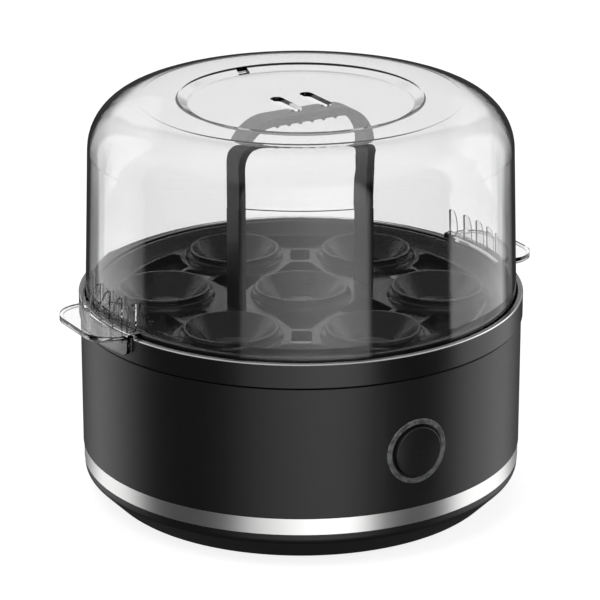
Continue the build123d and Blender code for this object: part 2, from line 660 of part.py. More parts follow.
def button_spring():
    """Coil spring around the stem, between the holder's back and the cap."""
    low = HOLDER_BACK + HOLDER_PLATE + SPRING_WIRE_R
    high = CAP_FACE - CAP_DISH - CAP_WALL - SPRING_WIRE_R - SLIP
    pitch = (high - low) / SPRING_TURNS
    path = Helix(pitch, high - low, SPRING_COIL_R)
    start = Plane(origin=path @ 0, z_dir=path % 0)
    coil = sweep(start * Circle(SPRING_WIRE_R), path=path)
    return front(Pos(0, 0, low) * coil)


# Base: cable entry and wiring

def cord_bush():
    """Rubber bush in the back wall that the supply cable passes through."""
    bush = Pos(0, 0, HOUSING_INNER_R - 4) * extrude(Circle(BUSH_R), 4 + HOUSING_WALL + 1.0)
    inside = sqrt(HOUSING_INNER_R ** 2 - BUSH_FLANGE_R ** 2) - SLIP
    bush += Pos(0, 0, inside - BUSH_FLANGE) * extrude(Circle(BUSH_FLANGE_R), BUSH_FLANGE)
    bush += Pos(0, 0, BODY_R + SLIP) * extrude(Circle(BUSH_FLANGE_R), CAP_FACE - BODY_R - SLIP)
    bush = fillet(bush.edges().group_by(Axis.Z)[-1], 0.5)
    bush -= extrude(Circle(BUSH_BORE_R), 2 * BODY_R)
    return Pos(0, 0, BUSH_Z) * Rot(-90, 0, 0) * bush


def terminal_block():
    """Three-way block on the bottom cover, with open wire ways from front to back."""
    length, depth, height = BLOCK_SIZE
    body = Pos(0, BLOCK_Y, COVER_FLOOR_Z + height / 2) * Box(length, depth, height)
    body = fillet(body.edges().filter_by(Axis.Z), 1.0)
    for way in (-1, 0, 1):
        bore = Pos(way * length / 3, BLOCK_Y, COVER_FLOOR_Z + height / 2) * Rot(90, 0, 0)
        body -= bore * extrude(Circle(WIRE_R + SLIP), depth, both=True)
        body -= Pos(way * length / 3, BLOCK_Y, COVER_FLOOR_Z + height / 2) * disc(SCREW_R + SLIP, 0, height)
    return body


def terminal_screws():
    """Screws that grip the wires in the block."""
    length, depth, height = BLOCK_SIZE
    low = COVER_FLOOR_Z + height / 2 + WIRE_R + SLIP
    one = disc(SCREW_R, low, COVER_FLOOR_Z + height)
    return [Pos(way * length / 3, BLOCK_Y, 0) * one for way in (-1, 0, 1)]


def wires():
    """The six internal leads, each with its node's name, along the points of its route."""
    length, depth, height = BLOCK_SIZE
    way_z = COVER_FLOOR_Z + height / 2
    inner = BLOCK_Y - depth / 2 + BLOCK_GRIP
    tab_z = ELEMENT_Z - ELEMENT_DROP - INSULATOR_LENGTH - TAB_LENGTH
    first, last = (radians(angle) for angle in element_ends())
    blade_y = -(HOLDER_BACK - SWITCH_LENGTH - TAB_LENGTH)
    blade_x = SWITCH_SIZE / 4
    thermo_z = SPREADER_Z - THERMOSTAT_HEIGHT + BLADE_RISE - TAB_THICK / 2
    thermo_y = THERMOSTAT_R + BLADE_REACH / 2
    fuse_x = FUSE_LENGTH / 2
    fuse_z = SPREADER_Z - FUSE_R - SLIP
    back = (ELEMENT_R * cos(first), ELEMENT_R * sin(first))
    near = (ELEMENT_R * cos(last), ELEMENT_R * sin(last))
    third = length / 3
    earth = (EARTH_R * cos(radians(EARTH_TURN)), EARTH_R * sin(radians(EARTH_TURN)))
    routes = {
        "supply_wire": ([
            (third, inner, way_z), (third, BLOCK_Y - 32.0, way_z), (24.0, -14.0, way_z + 8),
            (blade_x, blade_y + 20.0, BUTTON_Z - 8), (blade_x, blade_y + 8.0, BUTTON_Z),
            (blade_x, blade_y, BUTTON_Z)], [12, 12, 6, 5]),
        "switched_wire": ([
            (-blade_x, blade_y, BUTTON_Z), (-blade_x, blade_y + 10.0, BUTTON_Z),
            (0, -thermo_y, thermo_z - 12.0), (0, -thermo_y, thermo_z)], [5, 4]),
        "fuse_wire": ([
            (0, thermo_y, thermo_z), (0, thermo_y, thermo_z - 10.0), (27.0, 4.0, thermo_z - 12.0),
            (25.0, FUSE_Y + 1.0, fuse_z - 5.0), (15.0, FUSE_Y, fuse_z), (fuse_x, FUSE_Y, fuse_z)],
            [5, 8, 4, 2.5]),
        "element_wire": ([
            (-fuse_x, FUSE_Y, fuse_z), (-18.0, FUSE_Y, fuse_z), (-28.0, FUSE_Y - 2.0, tab_z - 8.0),
            (*near, tab_z - 10.0), (*near, tab_z)], [4, 4, 4]),
        "neutral_wire": ([
            (0, inner, way_z), (0, BLOCK_Y - 18.0, way_z), (*back, way_z + 6.0), (*back, tab_z)], [6, 8]),
        "earth_wire": ([
            (-third, inner, way_z), (-third, BLOCK_Y - 16.0, way_z), (-34.0, BLOCK_Y - 4.0, way_z + 4.0),
            (*earth, way_z + 16.0), (*earth, CLAMP_Z)], [4, 6, 6]),
    }
    return {node: lead(points, radii) for node, (points, radii) in routes.items()}


# Tray

def cup():
    """One egg cup about Z, open at the bottom, with a stepped outside."""
    rim = WEB_Z + CUP_RISE
    inner_r = CUP_R - CUP_WALL
    bottom = WEB_Z - CUP_BELOW
    under = WEB_Z - WEB_THICK
    neck_z = rim - CUP_BAND - CUP_NECK
    step_z = WEB_Z + 2 * CUP_BAND
    return turned(
        (inner_r, rim, 0.4), (CUP_R, rim, 0.4), (CUP_R, rim - CUP_BAND, 0.2), (CUP_R - CUP_NECK, neck_z, 0.3),
        (CUP_STEP_R - CUP_NECK, step_z, 0.2), (CUP_STEP_R, step_z - CUP_NECK / 2, 0.2),
        (CUP_STEP_R, WEB_Z + CUP_BAND, 0.3), (CUP_FOOT_R, WEB_Z - WEB_THICK / 2), (CUP_FOOT_R, under),
        (CUP_R, under, 0.5), (CUP_HOLE_R + CUP_WALL, bottom), (CUP_HOLE_R, bottom),
        (CUP_BOWL_R, WEB_Z - CUP_NECK, 8.0))


def cup_void():
    """Space inside one cup, cut clean through the web."""
    rim = WEB_Z + CUP_RISE
    bottom = WEB_Z - CUP_BELOW
    return turned((0, rim), (CUP_R - CUP_WALL, rim), (CUP_BOWL_R, WEB_Z - CUP_NECK, 8.0),
                  (CUP_HOLE_R, bottom), (0, bottom))


def cup_places():
    """Centre cup and the six around it."""
    return [Pos(0, 0, 0)] + around(EGG_CUPS, EGG_PITCH, CUP_TURN)


def outer_pocket():
    """Sunk field between two cups and the tray wall, as a flat face."""
    far = Pos(EGG_PITCH * cos(radians(CUP_TURN)), 0)
    half = EGG_PITCH * sin(radians(CUP_TURN))
    reach = WEB_R - POCKET_NEAR
    face = Circle(WEB_R - WEB_THICK) & Pos(POCKET_NEAR + reach, 0) * Rectangle(2 * reach, POCKET_WIDTH)
    for side in (-1, 1):
        face -= far * Pos(0, side * half) * Circle(POCKET_GAP_R)
    return fillet(face.vertices(), POCKET_CORNER_R)


def inner_pocket():
    """Sunk field between the centre cup and a slot, as a flat face."""
    corners = list(INNER_POCKET) + [(x, -y) for x, y in reversed(INNER_POCKET)]
    face = make_face(Polyline(*corners, close=True)) - Circle(POCKET_GAP_R)
    return fillet(face.vertices(), POCKET_CORNER_R * 0.8)


def egg_tray():
    """Black tray: stepped outer wall, flat web, seven cups, steam slots and sunk fields."""
    rim = WEB_Z + TRAY_RIM_RISE
    under = WEB_Z - WEB_THICK
    wall_in = TRAY_RIM_R - TRAY_WALL
    (upper, upper_z), (lower, lower_z) = RIM_STEPS
    body = turned(
        (0, under), (WEB_R + WEB_THICK / 2, under), (WEB_R + lower, WEB_Z), (wall_in, WEB_Z + upper_z),
        (wall_in, LEDGE_Z), (TRAY_RIM_R, LEDGE_Z), (TRAY_RIM_R, rim, 0.5), (wall_in, rim, 0.5),
        (WEB_R + upper, WEB_Z + upper_z, 0.6), (WEB_R + lower, WEB_Z + lower_z, 0.6),
        (WEB_R, WEB_Z, 2.0), (0, WEB_Z))
    pockets = [Rot(0, 0, 60.0 * step) * outer_pocket() for step in range(EGG_CUPS)]
    pockets += [Rot(0, 0, angle) * inner_pocket() for angle in (60.0, 120.0, 240.0, 300.0)]
    floor = WEB_Z - POCKET_DEEP
    for pocket in pockets:
        tub = Pos(0, 0, floor - POCKET_WALL) * extrude(offset(pocket, POCKET_WALL), POCKET_DEEP)
        body += tub
    for place in cup_places():
        body += place * cup()
    for pocket in pockets:
        body -= Pos(0, 0, floor) * extrude(pocket, POCKET_DEEP + 1)
    for place in cup_places():
        body -= place * cup_void()
    slot = RectangleRounded(SLOT_FAR - SLOT_NEAR, SLOT_WIDTH, SLOT_CORNER_R)
    slot = Pos((SLOT_FAR + SLOT_NEAR) / 2, 0, under - POCKET_DEEP) * extrude(slot, 2 * POCKET_DEEP + 2)
    for step in range(EGG_CUPS):
        body -= Rot(0, 0, 60.0 * step) * slot
    socket = Box(HANDLE_THICK + 2 * SLIP, HANDLE_WIDTH + 2 * SLIP, 4 * WEB_THICK)
    for side in (-1, 1):
        body -= Pos(side * HANDLE_HALF_SPAN, 0, WEB_Z) * socket
    return body


def arch(inset, low):
    """Face under the handle's outline, drawn in by inset, down to a height."""
    x = HANDLE_HALF_SPAN + HANDLE_THICK / 2 - inset
    top = LEDGE_Z + HANDLE_TOP_RISE - inset
    bend = HANDLE_CORNER_R - inset
    return section((-x, low), (-x, top, bend), (x, top, bend), (x, low))


def tray_handle():
    """Upright strap handle with grooved edges, ribs under the bar and barbs under the tray."""
    low = WEB_Z - WEB_THICK - BARB_DROP
    lips = (HANDLE_THICK - GROOVE_WIDTH) / 2
    outer = arch(0, low) - arch(lips, low)
    core = arch(lips, low) - arch(lips + GROOVE_WIDTH, low)
    inner = arch(lips + GROOVE_WIDTH, low) - arch(HANDLE_THICK, low)
    body = Plane.XZ * extrude(outer, HANDLE_WIDTH / 2, both=True)
    body += Plane.XZ * extrude(core, HANDLE_WIDTH / 2 - GROOVE_DEEP, both=True)
    body += Plane.XZ * extrude(inner, HANDLE_WIDTH / 2, both=True)
    under_bar = LEDGE_Z + HANDLE_TOP_RISE - HANDLE_THICK
    rib = Rot(90, 0, 0) * extrude(Circle(GRIP_RIB_R), HANDLE_WIDTH / 2 - GRIP_RIB_INSET, both=True)
    for step in range(GRIP_RIBS):
        x = (step - (GRIP_RIBS - 1) / 2) * GRIP_PITCH
        body += Pos(x, 0, under_bar) * rib
    barb_top = WEB_Z - WEB_THICK - SLIP
    wedge = section((0, barb_top), (BARB, barb_top), (0, low))
    wedge = Plane.XZ * extrude(wedge, HANDLE_WIDTH / 2 - 1, both=True)
    for turn in (0, 180):
        body += Rot(0, 0, turn) * Pos(SLIP - HANDLE_HALF_SPAN + HANDLE_THICK / 2 - BARB / 4, 0, 0) * wedge
    return body


# Lid

def lid_wall_r(height):
    """Outside radius of the drafted lid wall at a height."""
    return LID_R - (height - RING_TOP_Z) * tan(radians(LID_DRAFT))


def ear_fin():
    """Upright stiffening fin on the lid wall, in the XZ plane."""
    foot = EAR_Z + EAR_THICK
    face = Pos(LID_R, foot) * Ellipse(FIN_DEPTH, FIN_HEIGHT)
    face &= Pos(LID_R + FIN_DEPTH / 2 - 0.5, foot + FIN_HEIGHT / 2) * Rectangle(FIN_DEPTH + 1, FIN_HEIGHT)
    return Plane.XZ * extrude(face, FIN_THICK / 2, both=True)


def ear_outline(inset):
    """Ear's outline seen from above, drawn in by inset."""
    root_x, root = LID_R - EAR_REACH, EAR_ROOT_HALF - inset
    end_x, end, bend = BODY_R + EAR_REACH - inset, EAR_END_HALF - inset, EAR_CORNER_R - inset
    return section((root_x, -root), (end_x, -end, bend), (end_x, end, bend), (root_x, root))


def ear():
    """Ear along +X: flat plate with a beaded edge, fins above, skirt outside the ring."""
    outline = ear_outline(0)
    inset = ear_outline(EAR_BEAD)
    core = Circle(lid_wall_r(EAR_Z) - LID_WALL / 2)
    plate = Pos(0, 0, EAR_Z) * extrude(outline - core, EAR_THICK)
    skirt_in = RING_R + EAR_CLEAR
    bead = extrude(outline - inset - Circle(skirt_in), EAR_BEAD_DROP + EAR_THICK / 2)
    body = plate + Pos(0, 0, EAR_Z - EAR_BEAD_DROP) * bead
    half = (skirt_in + SKIRT_WALL) * sin(radians(SKIRT_HALF_ANGLE))
    low = EAR_Z - SKIRT_DROP
    tall = SKIRT_DROP + EAR_THICK / 2
    panel = section((-half, low, SKIRT_CORNER_R), (half, low, SKIRT_CORNER_R), (half, low + tall),
                    (-half, low + tall))
    panel = Plane.YZ * extrude(panel, 2 * RING_R)
    body += ring(skirt_in, skirt_in + SKIRT_WALL, low, low + tall) & panel
    for step in range(FIN_COUNT):
        body += Rot(0, 0, (step - (FIN_COUNT - 1) / 2) * FIN_STEP) * ear_fin()
    return body


def lid():
    """Clear domed lid with a sunk round panel, two vent slots and two ears."""
    foot_r = lid_wall_r(LEDGE_Z)
    top_r = lid_wall_r(LID_TOP_Z)
    bead_z = RING_TOP_Z + BEAD_RISE
    fade_z = bead_z + BEAD_FADE
    panel_z = LID_TOP_Z - RECESS_DEEP
    shift = LID_WALL * 0.4
    body = turned(
        (foot_r - LID_WALL - LID_BEAD, LEDGE_Z, 0.4), (foot_r, LEDGE_Z, 0.6),
        (top_r, LID_TOP_Z, LID_SHOULDER_R), (RECESS_R, LID_TOP_Z, RECESS_CORNER_R),
        (RECESS_FLOOR_R, panel_z, RECESS_CORNER_R), (0, panel_z), (0, panel_z - LID_WALL),
        (RECESS_FLOOR_R + shift, panel_z - LID_WALL, RECESS_CORNER_R),
        (RECESS_R + shift, LID_TOP_Z - LID_WALL, RECESS_CORNER_R),
        (top_r - LID_WALL, LID_TOP_Z - LID_WALL, LID_SHOULDER_R - LID_WALL),
        (lid_wall_r(fade_z) - LID_WALL, fade_z), (lid_wall_r(bead_z) - LID_WALL - LID_BEAD, bead_z, 0.6))
    vent = extrude(Rot(0, 0, 90) * SlotOverall(VENT_LENGTH, VENT_WIDTH), 3 * LID_WALL)
    vent = Pos(0, 0, panel_z - 2 * LID_WALL) * vent
    for side in (-1, 1):
        body -= Pos(side * VENT_X, 0, 0) * vent
    notch = Box(NOTCH_WIDTH, NOTCH_REACH, 5 * LID_WALL)
    body -= Pos(0, (RECESS_R + RECESS_FLOOR_R) / 2, LID_TOP_Z) * notch
    for turn in (0, 180):
        body += Rot(0, 0, turn) * ear()
    return body


save("outer_housing", outer_housing())
save("pan_ring", pan_ring())
save("steel_band", steel_band())
save("bottom_cover", bottom_cover())
save("rubber_feet", *rubber_feet())
save("cover_screws", *cover_screws())
save("heating_dish", heating_dish())
save("dish_seal", dish_seal())
save("dish_clamp_ring", dish_clamp_ring())
save("clamp_screws", *clamp_screws())
save("heat_spreader", heat_spreader())
save("heating_element", heating_element())
save("element_insulators", *element_insulators())
save("element_tabs", *element_tabs())
save("thermostat", thermostat())
save("thermostat_bracket", thermostat_bracket())
save("bracket_screws", *bracket_screws())
save("thermal_fuse", thermal_fuse())
save("fuse_clip", fuse_clip())
save("light_ring", light_ring())
save("button_holder", button_holder())
save("holder_screws", *holder_screws())
save("led_board", led_board())
save("leds", *leds())
save("switch_body", switch_body())
save("switch_blades", *switch_blades())
save("button_cap", button_cap())
save("switch_plunger", switch_plunger())
save("button_spring", button_spring())
save("cord_bush", cord_bush())
save("terminal_block", terminal_block())
save("terminal_screws", *terminal_screws())
for node, wire in wires().items():
    save(node, wire)
save("egg_tray", egg_tray())
save("tray_handle", tray_handle())
save("lid", lid())
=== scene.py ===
from math import cos, pi, radians, sin

import bpy
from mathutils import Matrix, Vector

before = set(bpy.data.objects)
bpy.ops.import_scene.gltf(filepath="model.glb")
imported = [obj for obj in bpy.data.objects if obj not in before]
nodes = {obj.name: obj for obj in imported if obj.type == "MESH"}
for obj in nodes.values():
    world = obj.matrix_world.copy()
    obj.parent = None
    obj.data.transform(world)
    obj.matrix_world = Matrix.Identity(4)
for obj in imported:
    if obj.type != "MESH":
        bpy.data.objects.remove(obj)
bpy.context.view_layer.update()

MM = 0.001
PLAIN = (1, 1, 1)
MIDDLE = 0.5

# Camera: in front and to the left of the button, looking down on the lid
CAMERA_TURN = radians(239.6)
CAMERA_TILT = radians(19.88)
CAMERA_REACH = 1.3557
CAMERA_SHIFT = (-0.0015, 0.0017)
LOOK_AT_Z = 0.0802
LENS = 198.9
SENSOR = 36.0
NEAREST_SEEN = 0.01

# Heights, and distances from the upright axis, between which a finish changes: the ring's painted bevel
# highlight and its coated top, and the painted shade on the lid's shoulder, upright walls and ear edges
RING_BEVEL_HEIGHT = (86.50 * MM, 86.62 * MM)
RING_BEVEL_REACH = (90.05 * MM, 90.2 * MM)
RING_TOP_HEIGHT = (86.75 * MM, 86.88 * MM)
LID_SHOULDER_HEIGHT = (118 * MM, 136 * MM)
LID_WALL_END_HEIGHT = (124 * MM, 146 * MM)
EAR_REACH = (87.95 * MM, 88.2 * MM)
EAR_HEIGHT = (85.5 * MM, 86.2 * MM)
EAR_PLATE_TOP = (89.15 * MM, 89.3 * MM)

# Noise patterns: scale per metre, detail, roughness
SLOW_PATCHES = (35.0, 2.0)
SPARK_GRAIN = (3200.0, 2.0, 0.6)
POLISH_MARKS = (240.0, 5.0, 0.65)
RUBBER_PITS = (1500.0, 4.0, 0.7)
RUBBER_DUST = (90.0, 4.0)
WATER_MARKS = (70.0, 6.0, 0.7)
SHEET_SCUFFS = (900.0, 4.0, 0.7)
WIRE_SCUFFS = (700.0, 3.0)
LID_SCUFFS = (420.0, 4.0, 0.6)
FROST_CLOUDS = (420.0, 5.0, 0.7)
FLOOR_GRAIN = (60.0, 3.0)
CRYSTAL_SCALE = 260.0

# Patterns of lines: how much the place is stretched, per radian or metre, then the noise on it
BRUSHED_STRETCH = {"angle": 2.0, "z": 9000.0}
BRUSHED_LINES = (1.0, 4.0, 0.7)
LONG_BRUSHED_STRETCH = {"angle": 0.6, "z": 2600.0}
LONG_BRUSHED_LINES = (1.0, 3.0, 0.6)
LONG_BRUSHED_SHIFT = 7.0
TURNED_STRETCH = {"reach": 5200.0, "angle": 0.8, "z": 2000.0}
TURNED_LINES = (1.0, 3.0, 0.65)
STRIPE_RATE = 900.0
STRIPE_EDGE = (0.0, 0.2)

# Darkest and brightest shade of a pattern, as shares of the finish's level
MOULDED_SHADES = (0.88, 1.12)
RUBBER_SHADES = (0.8, 1.5)
RING_SHADES = (0.9, 1.1)
BRUSHED_SHADES = (0.86, 1.08)
TURNED_SHADES = (0.85, 1.05)
SHEET_SHADES = (0.85, 1.1)
STAIN_SHADE = 0.55

# Depths of bumps
PIT_DEPTH = 0.05 * MM
GRAIN_DEPTH = 0.02 * MM
BRUSHED_DEPTH = 0.012 * MM
SCUFF_DEPTH = 0.01 * MM
CLEAR_DEPTH = 0.001 * MM
MOULDED_DEPTH = 10 * MM

# How far a pattern swings the roughness, from end to end
RING_SWING = 0.04
BRUSHED_SWING = 0.22
TURNED_SWING = 0.15
WATER_MARK_SWING = 0.18
SHEET_SWING = 0.3
SOFT_SWING = 0.2

PLASTIC_IOR = 1.49

# Clear lid: how far a face is turned from the eye, 0 facing and 1 edge on, where painted shade darkens it
BAND_EDGE = (0.655, 0.685)
OUTER_BAND_EDGE = (0.76, 0.79)
OUTLINE_EDGE = (0.88, 0.95)
BAND_SHIFT_WHERE_LEVEL = 0.14
OUTER_BAND_SHIFT_WHERE_LEVEL = 0.06
NARROW_FACE = (0.15, 0.5)


class Wire:
    """A shader socket. Arithmetic on it adds the Math nodes."""

    def __init__(self, finish, socket):
        self.finish = finish
        self.socket = socket

    def math(self, operation, *others):
        return self.finish.node("ShaderNodeMath", {"operation": operation}, dict(enumerate((self, *others))))

    def __add__(self, other):
        return self.math("ADD", other)

    def __sub__(self, other):
        return self.math("SUBTRACT", other)

    def __rsub__(self, other):
        return self.finish.node("ShaderNodeMath", {"operation": "SUBTRACT"}, {0: other, 1: self})

    def __mul__(self, other):
        return self.math("MULTIPLY", other)

    def __truediv__(self, other):
        return self.math("DIVIDE", other)

    def __pow__(self, other):
        return self.math("POWER", other)

    __radd__ = __add__
    __rmul__ = __mul__


class Finish:
    """Node tree of one material or of the world."""

    def __init__(self, name, owner=None):
        self.owner = owner or bpy.data.materials.new(name)
        self.owner.use_nodes = True
        self.tree = self.owner.node_tree
        self.tree.nodes.clear()

    def node(self, kind, settings=None, inputs=None, out=0):
        """Adds any node: its settings, then the values or links of its sockets. Gives one output."""
        node = self.tree.nodes.new(kind)
        for name, value in (settings or {}).items():
            if name == "stops":
                self.set_stops(node.color_ramp, value)
            else:
                setattr(node, name, value)
        for name, value in (inputs or {}).items():
            if isinstance(value, Wire):
                self.tree.links.new(value.socket, node.inputs[name])
            else:
                node.inputs[name].default_value = value
        return Wire(self, node.outputs[out])

    def set_stops(self, ramp, stops):
        while len(ramp.elements) < len(stops):
            ramp.elements.new(MIDDLE)
        for element, (place, level) in zip(ramp.elements, stops):
            element.position = place
            element.color = colour(level)

    def place(self):
        """The piece's own coordinates, in metres in the row frame."""
        return self.node("ShaderNodeTexCoord", out="Object")

    def split(self, vector):
        parts = self.node("ShaderNodeSeparateXYZ", None, {0: vector}).socket.node
        return [Wire(self, socket) for socket in parts.outputs]

    def join(self, x, y, z):
        return self.node("ShaderNodeCombineXYZ", None, {0: x, 1: y, 2: z})

    def polar(self):
        """(angle round the upright axis in radians, distance from it, height) of the piece's own place."""
        x, y, z = self.split(self.place())
        return y.math("ARCTAN2", x), (x * x + y * y) ** 0.5, z

    def noise(self, vector, scale, detail=3.0, roughness=0.5):
        settings = {"Vector": vector, "Scale": scale, "Detail": detail, "Roughness": roughness}
        return self.node("ShaderNodeTexNoise", None, settings, "Fac")

    def ramp(self, value, *stops):
        return self.node("ShaderNodeValToRGB", {"stops": stops}, {0: value})

    def mix(self, share, first, second):
        """Colour mixed from two colours."""
        return self.node("ShaderNodeMix", {"data_type": "RGBA"}, {0: share, 6: first, 7: second}, 2)

    def shades(self, pattern, level, ends, tint=PLAIN):
        """Colour of a pattern between two shares of a level."""
        return self.mix(pattern, colour(level * ends[0], tint), colour(level * ends[1], tint))

    def mix_shader(self, share, first, second):
        return self.node("ShaderNodeMixShader", None, {0: share, 1: first, 2: second})

    def fade(self, value, low, high):
        """0 below low, 1 above high, smooth between."""
        return self.node("ShaderNodeMapRange", {"interpolation_type": "SMOOTHSTEP"},
                         {"Value": value, "From Min": low, "From Max": high})

    def bump(self, height, depth):
        return self.node("ShaderNodeBump", None, {"Height": height, "Distance": depth, "Strength": 1.0})

    def surface(self, **sockets):
        """Closes with a Principled surface. Names are the sockets', with underscores for spaces."""
        inputs = {name.replace("_", " "): value for name, value in sockets.items()}
        self.close(self.node("ShaderNodeBsdfPrincipled", None, inputs))

    def close(self, shader):
        is_world = isinstance(self.owner, bpy.types.World)
        output = self.tree.nodes.new("ShaderNodeOutputWorld" if is_world else "ShaderNodeOutputMaterial")
        self.tree.links.new(shader.socket, output.inputs["Surface"])


def colour(level, tint=PLAIN):
    return (level * tint[0], level * tint[1], level * tint[2], 1)


def swing(pattern, amount):
    """Half the amount either way, from a pattern that lies between 0 and 1."""
    return (pattern - MIDDLE) * amount


def moulded(name, level, tint=PLAIN, gloss=0.35, grain=0.004, specular=0.5, wear=0.12):
    """Moulded plastic: spark-eroded grain, slow changes in colour and faint polish marks."""
    mark_share = 0.35
    finish = Finish(name)
    place = finish.place()
    slow = finish.noise(place, *SLOW_PATCHES)
    fine = finish.noise(place, *SPARK_GRAIN)
    marks = finish.noise(place, *POLISH_MARKS)
    finish.surface(Base_Color=finish.shades(slow, level, MOULDED_SHADES, tint),
                   Roughness=gloss + swing(marks, wear) + swing(slow, wear / 2),
                   Specular_IOR_Level=specular,
                   Normal=finish.bump(fine + marks * mark_share, grain * MOULDED_DEPTH))
    return finish.owner


def rubber(name, level):
    """Matt rubber with a dusty, pitted skin."""
    clean_rough, dust_rough = 0.62, 0.25
    finish = Finish(name)
    place = finish.place()
    pits = finish.noise(place, *RUBBER_PITS)
    dust = finish.noise(place, *RUBBER_DUST)
    finish.surface(Base_Color=finish.shades(dust, level, RUBBER_SHADES),
                   Roughness=clean_rough + dust * dust_rough,
                   Normal=finish.bump(pits, PIT_DEPTH))
    return finish.owner


def ring_moulding(name, level):
    """Black moulding of the top ring, with a painted highlight on its bevel, which is made bright polished
    metal, and a lacquered top.
    """
    bevel_highlight_level, dull, polish = 0.97, 0.26, 0.16
    finish = Finish(name)
    place = finish.place()
    _, reach, height = finish.polar()
    # Painted highlight: the narrow bevel strip at the ring's outer top edge is given bright metal colour,
    # which stands in for the highlight line along that edge.
    bevel_highlight = finish.fade(height, *RING_BEVEL_HEIGHT) * finish.fade(reach, *RING_BEVEL_REACH)
    slow = finish.noise(place, *SLOW_PATCHES)
    fine = finish.noise(place, *SPARK_GRAIN)
    black = finish.shades(slow, level, RING_SHADES)
    finish.surface(Base_Color=finish.mix(bevel_highlight, black, colour(bevel_highlight_level)), Metallic=bevel_highlight,
                   Roughness=dull + swing(slow, RING_SWING) - bevel_highlight * polish, Specular_IOR_Level=0.48,
                   Coat_Weight=finish.fade(height, *RING_TOP_HEIGHT), Coat_Roughness=0.25,
                   Normal=finish.bump(fine, GRAIN_DEPTH))
    return finish.owner


def brushed_round(name, level, rough):
    """Steel strip brushed along its length, round the upright axis."""
    short_share, long_share = 0.6, 0.4
    warm = (1, 0.995, 0.985)
    finish = Finish(name)
    angle, _, z = finish.polar()
    short, long = BRUSHED_STRETCH, LONG_BRUSHED_STRETCH
    short_place = finish.join(angle * short["angle"], z * short["z"], 0.0)
    long_place = finish.join(angle * long["angle"], z * long["z"], LONG_BRUSHED_SHIFT)
    short_lines = finish.noise(short_place, *BRUSHED_LINES)
    long_lines = finish.noise(long_place, *LONG_BRUSHED_LINES)
    both = short_lines * short_share + long_lines * long_share
    dark, light = BRUSHED_SHADES
    finish.surface(Base_Color=finish.mix(both, colour(level * dark), colour(level * light, warm)),
                   Metallic=1.0, Roughness=rough + swing(both, BRUSHED_SWING),
                   Normal=finish.bump(both, BRUSHED_DEPTH))
    return finish.owner


def spun(name, level, rough=0.25, stain=0.0, metal=1.0):
    """Sheet spun or turned in rings about the upright axis, with water marks."""
    stain_tint = (1.0, 0.86, 0.7)
    finish = Finish(name)
    angle, reach, z = finish.polar()
    stretch = TURNED_STRETCH
    turned = finish.join(reach * stretch["reach"], angle * stretch["angle"], z * stretch["z"])
    rings = finish.noise(turned, *TURNED_LINES)
    marks = finish.noise(finish.place(), *WATER_MARKS)
    clean = finish.shades(rings, level, TURNED_SHADES)
    paint = finish.mix(marks * stain, clean, colour(level * STAIN_SHADE, stain_tint))
    finish.surface(Base_Color=paint, Metallic=metal,
                   Roughness=rough + swing(rings, TURNED_SWING) + swing(marks, WATER_MARK_SWING),
                   Normal=finish.bump(rings, SCUFF_DEPTH))
    return finish.owner


def sheet_metal(name, level, rough, tint=PLAIN):
    """Rolled or plated sheet with a faint crystal pattern and scuffs."""
    finish = Finish(name)
    place = finish.place()
    cells = {"Vector": place, "Scale": CRYSTAL_SCALE}
    crystals = finish.node("ShaderNodeTexVoronoi", None, cells, "Distance")
    scuffs = finish.noise(place, *SHEET_SCUFFS)
    finish.surface(Base_Color=finish.shades(crystals, level, SHEET_SHADES, tint), Metallic=1.0,
                   Roughness=rough + swing(scuffs, SHEET_SWING), Normal=finish.bump(scuffs, SCUFF_DEPTH))
    return finish.owner


def insulation(name, main, stripe=None):
    """Wire insulation: soft plastic, with a second colour in stripes if one is given."""
    rough = 0.38
    finish = Finish(name)
    place = finish.place()
    paint = (*main, 1)
    if stripe:
        x, y, z = finish.split(place)
        wave = ((x + y + z) * STRIPE_RATE).math("SINE")
        paint = finish.mix(finish.fade(wave, *STRIPE_EDGE), paint, (*stripe, 1))
    scuffs = finish.noise(place, *WIRE_SCUFFS)
    finish.surface(Base_Color=paint, Roughness=rough + swing(scuffs, SOFT_SWING),
                   Normal=finish.bump(scuffs, GRAIN_DEPTH))
    return finish.owner


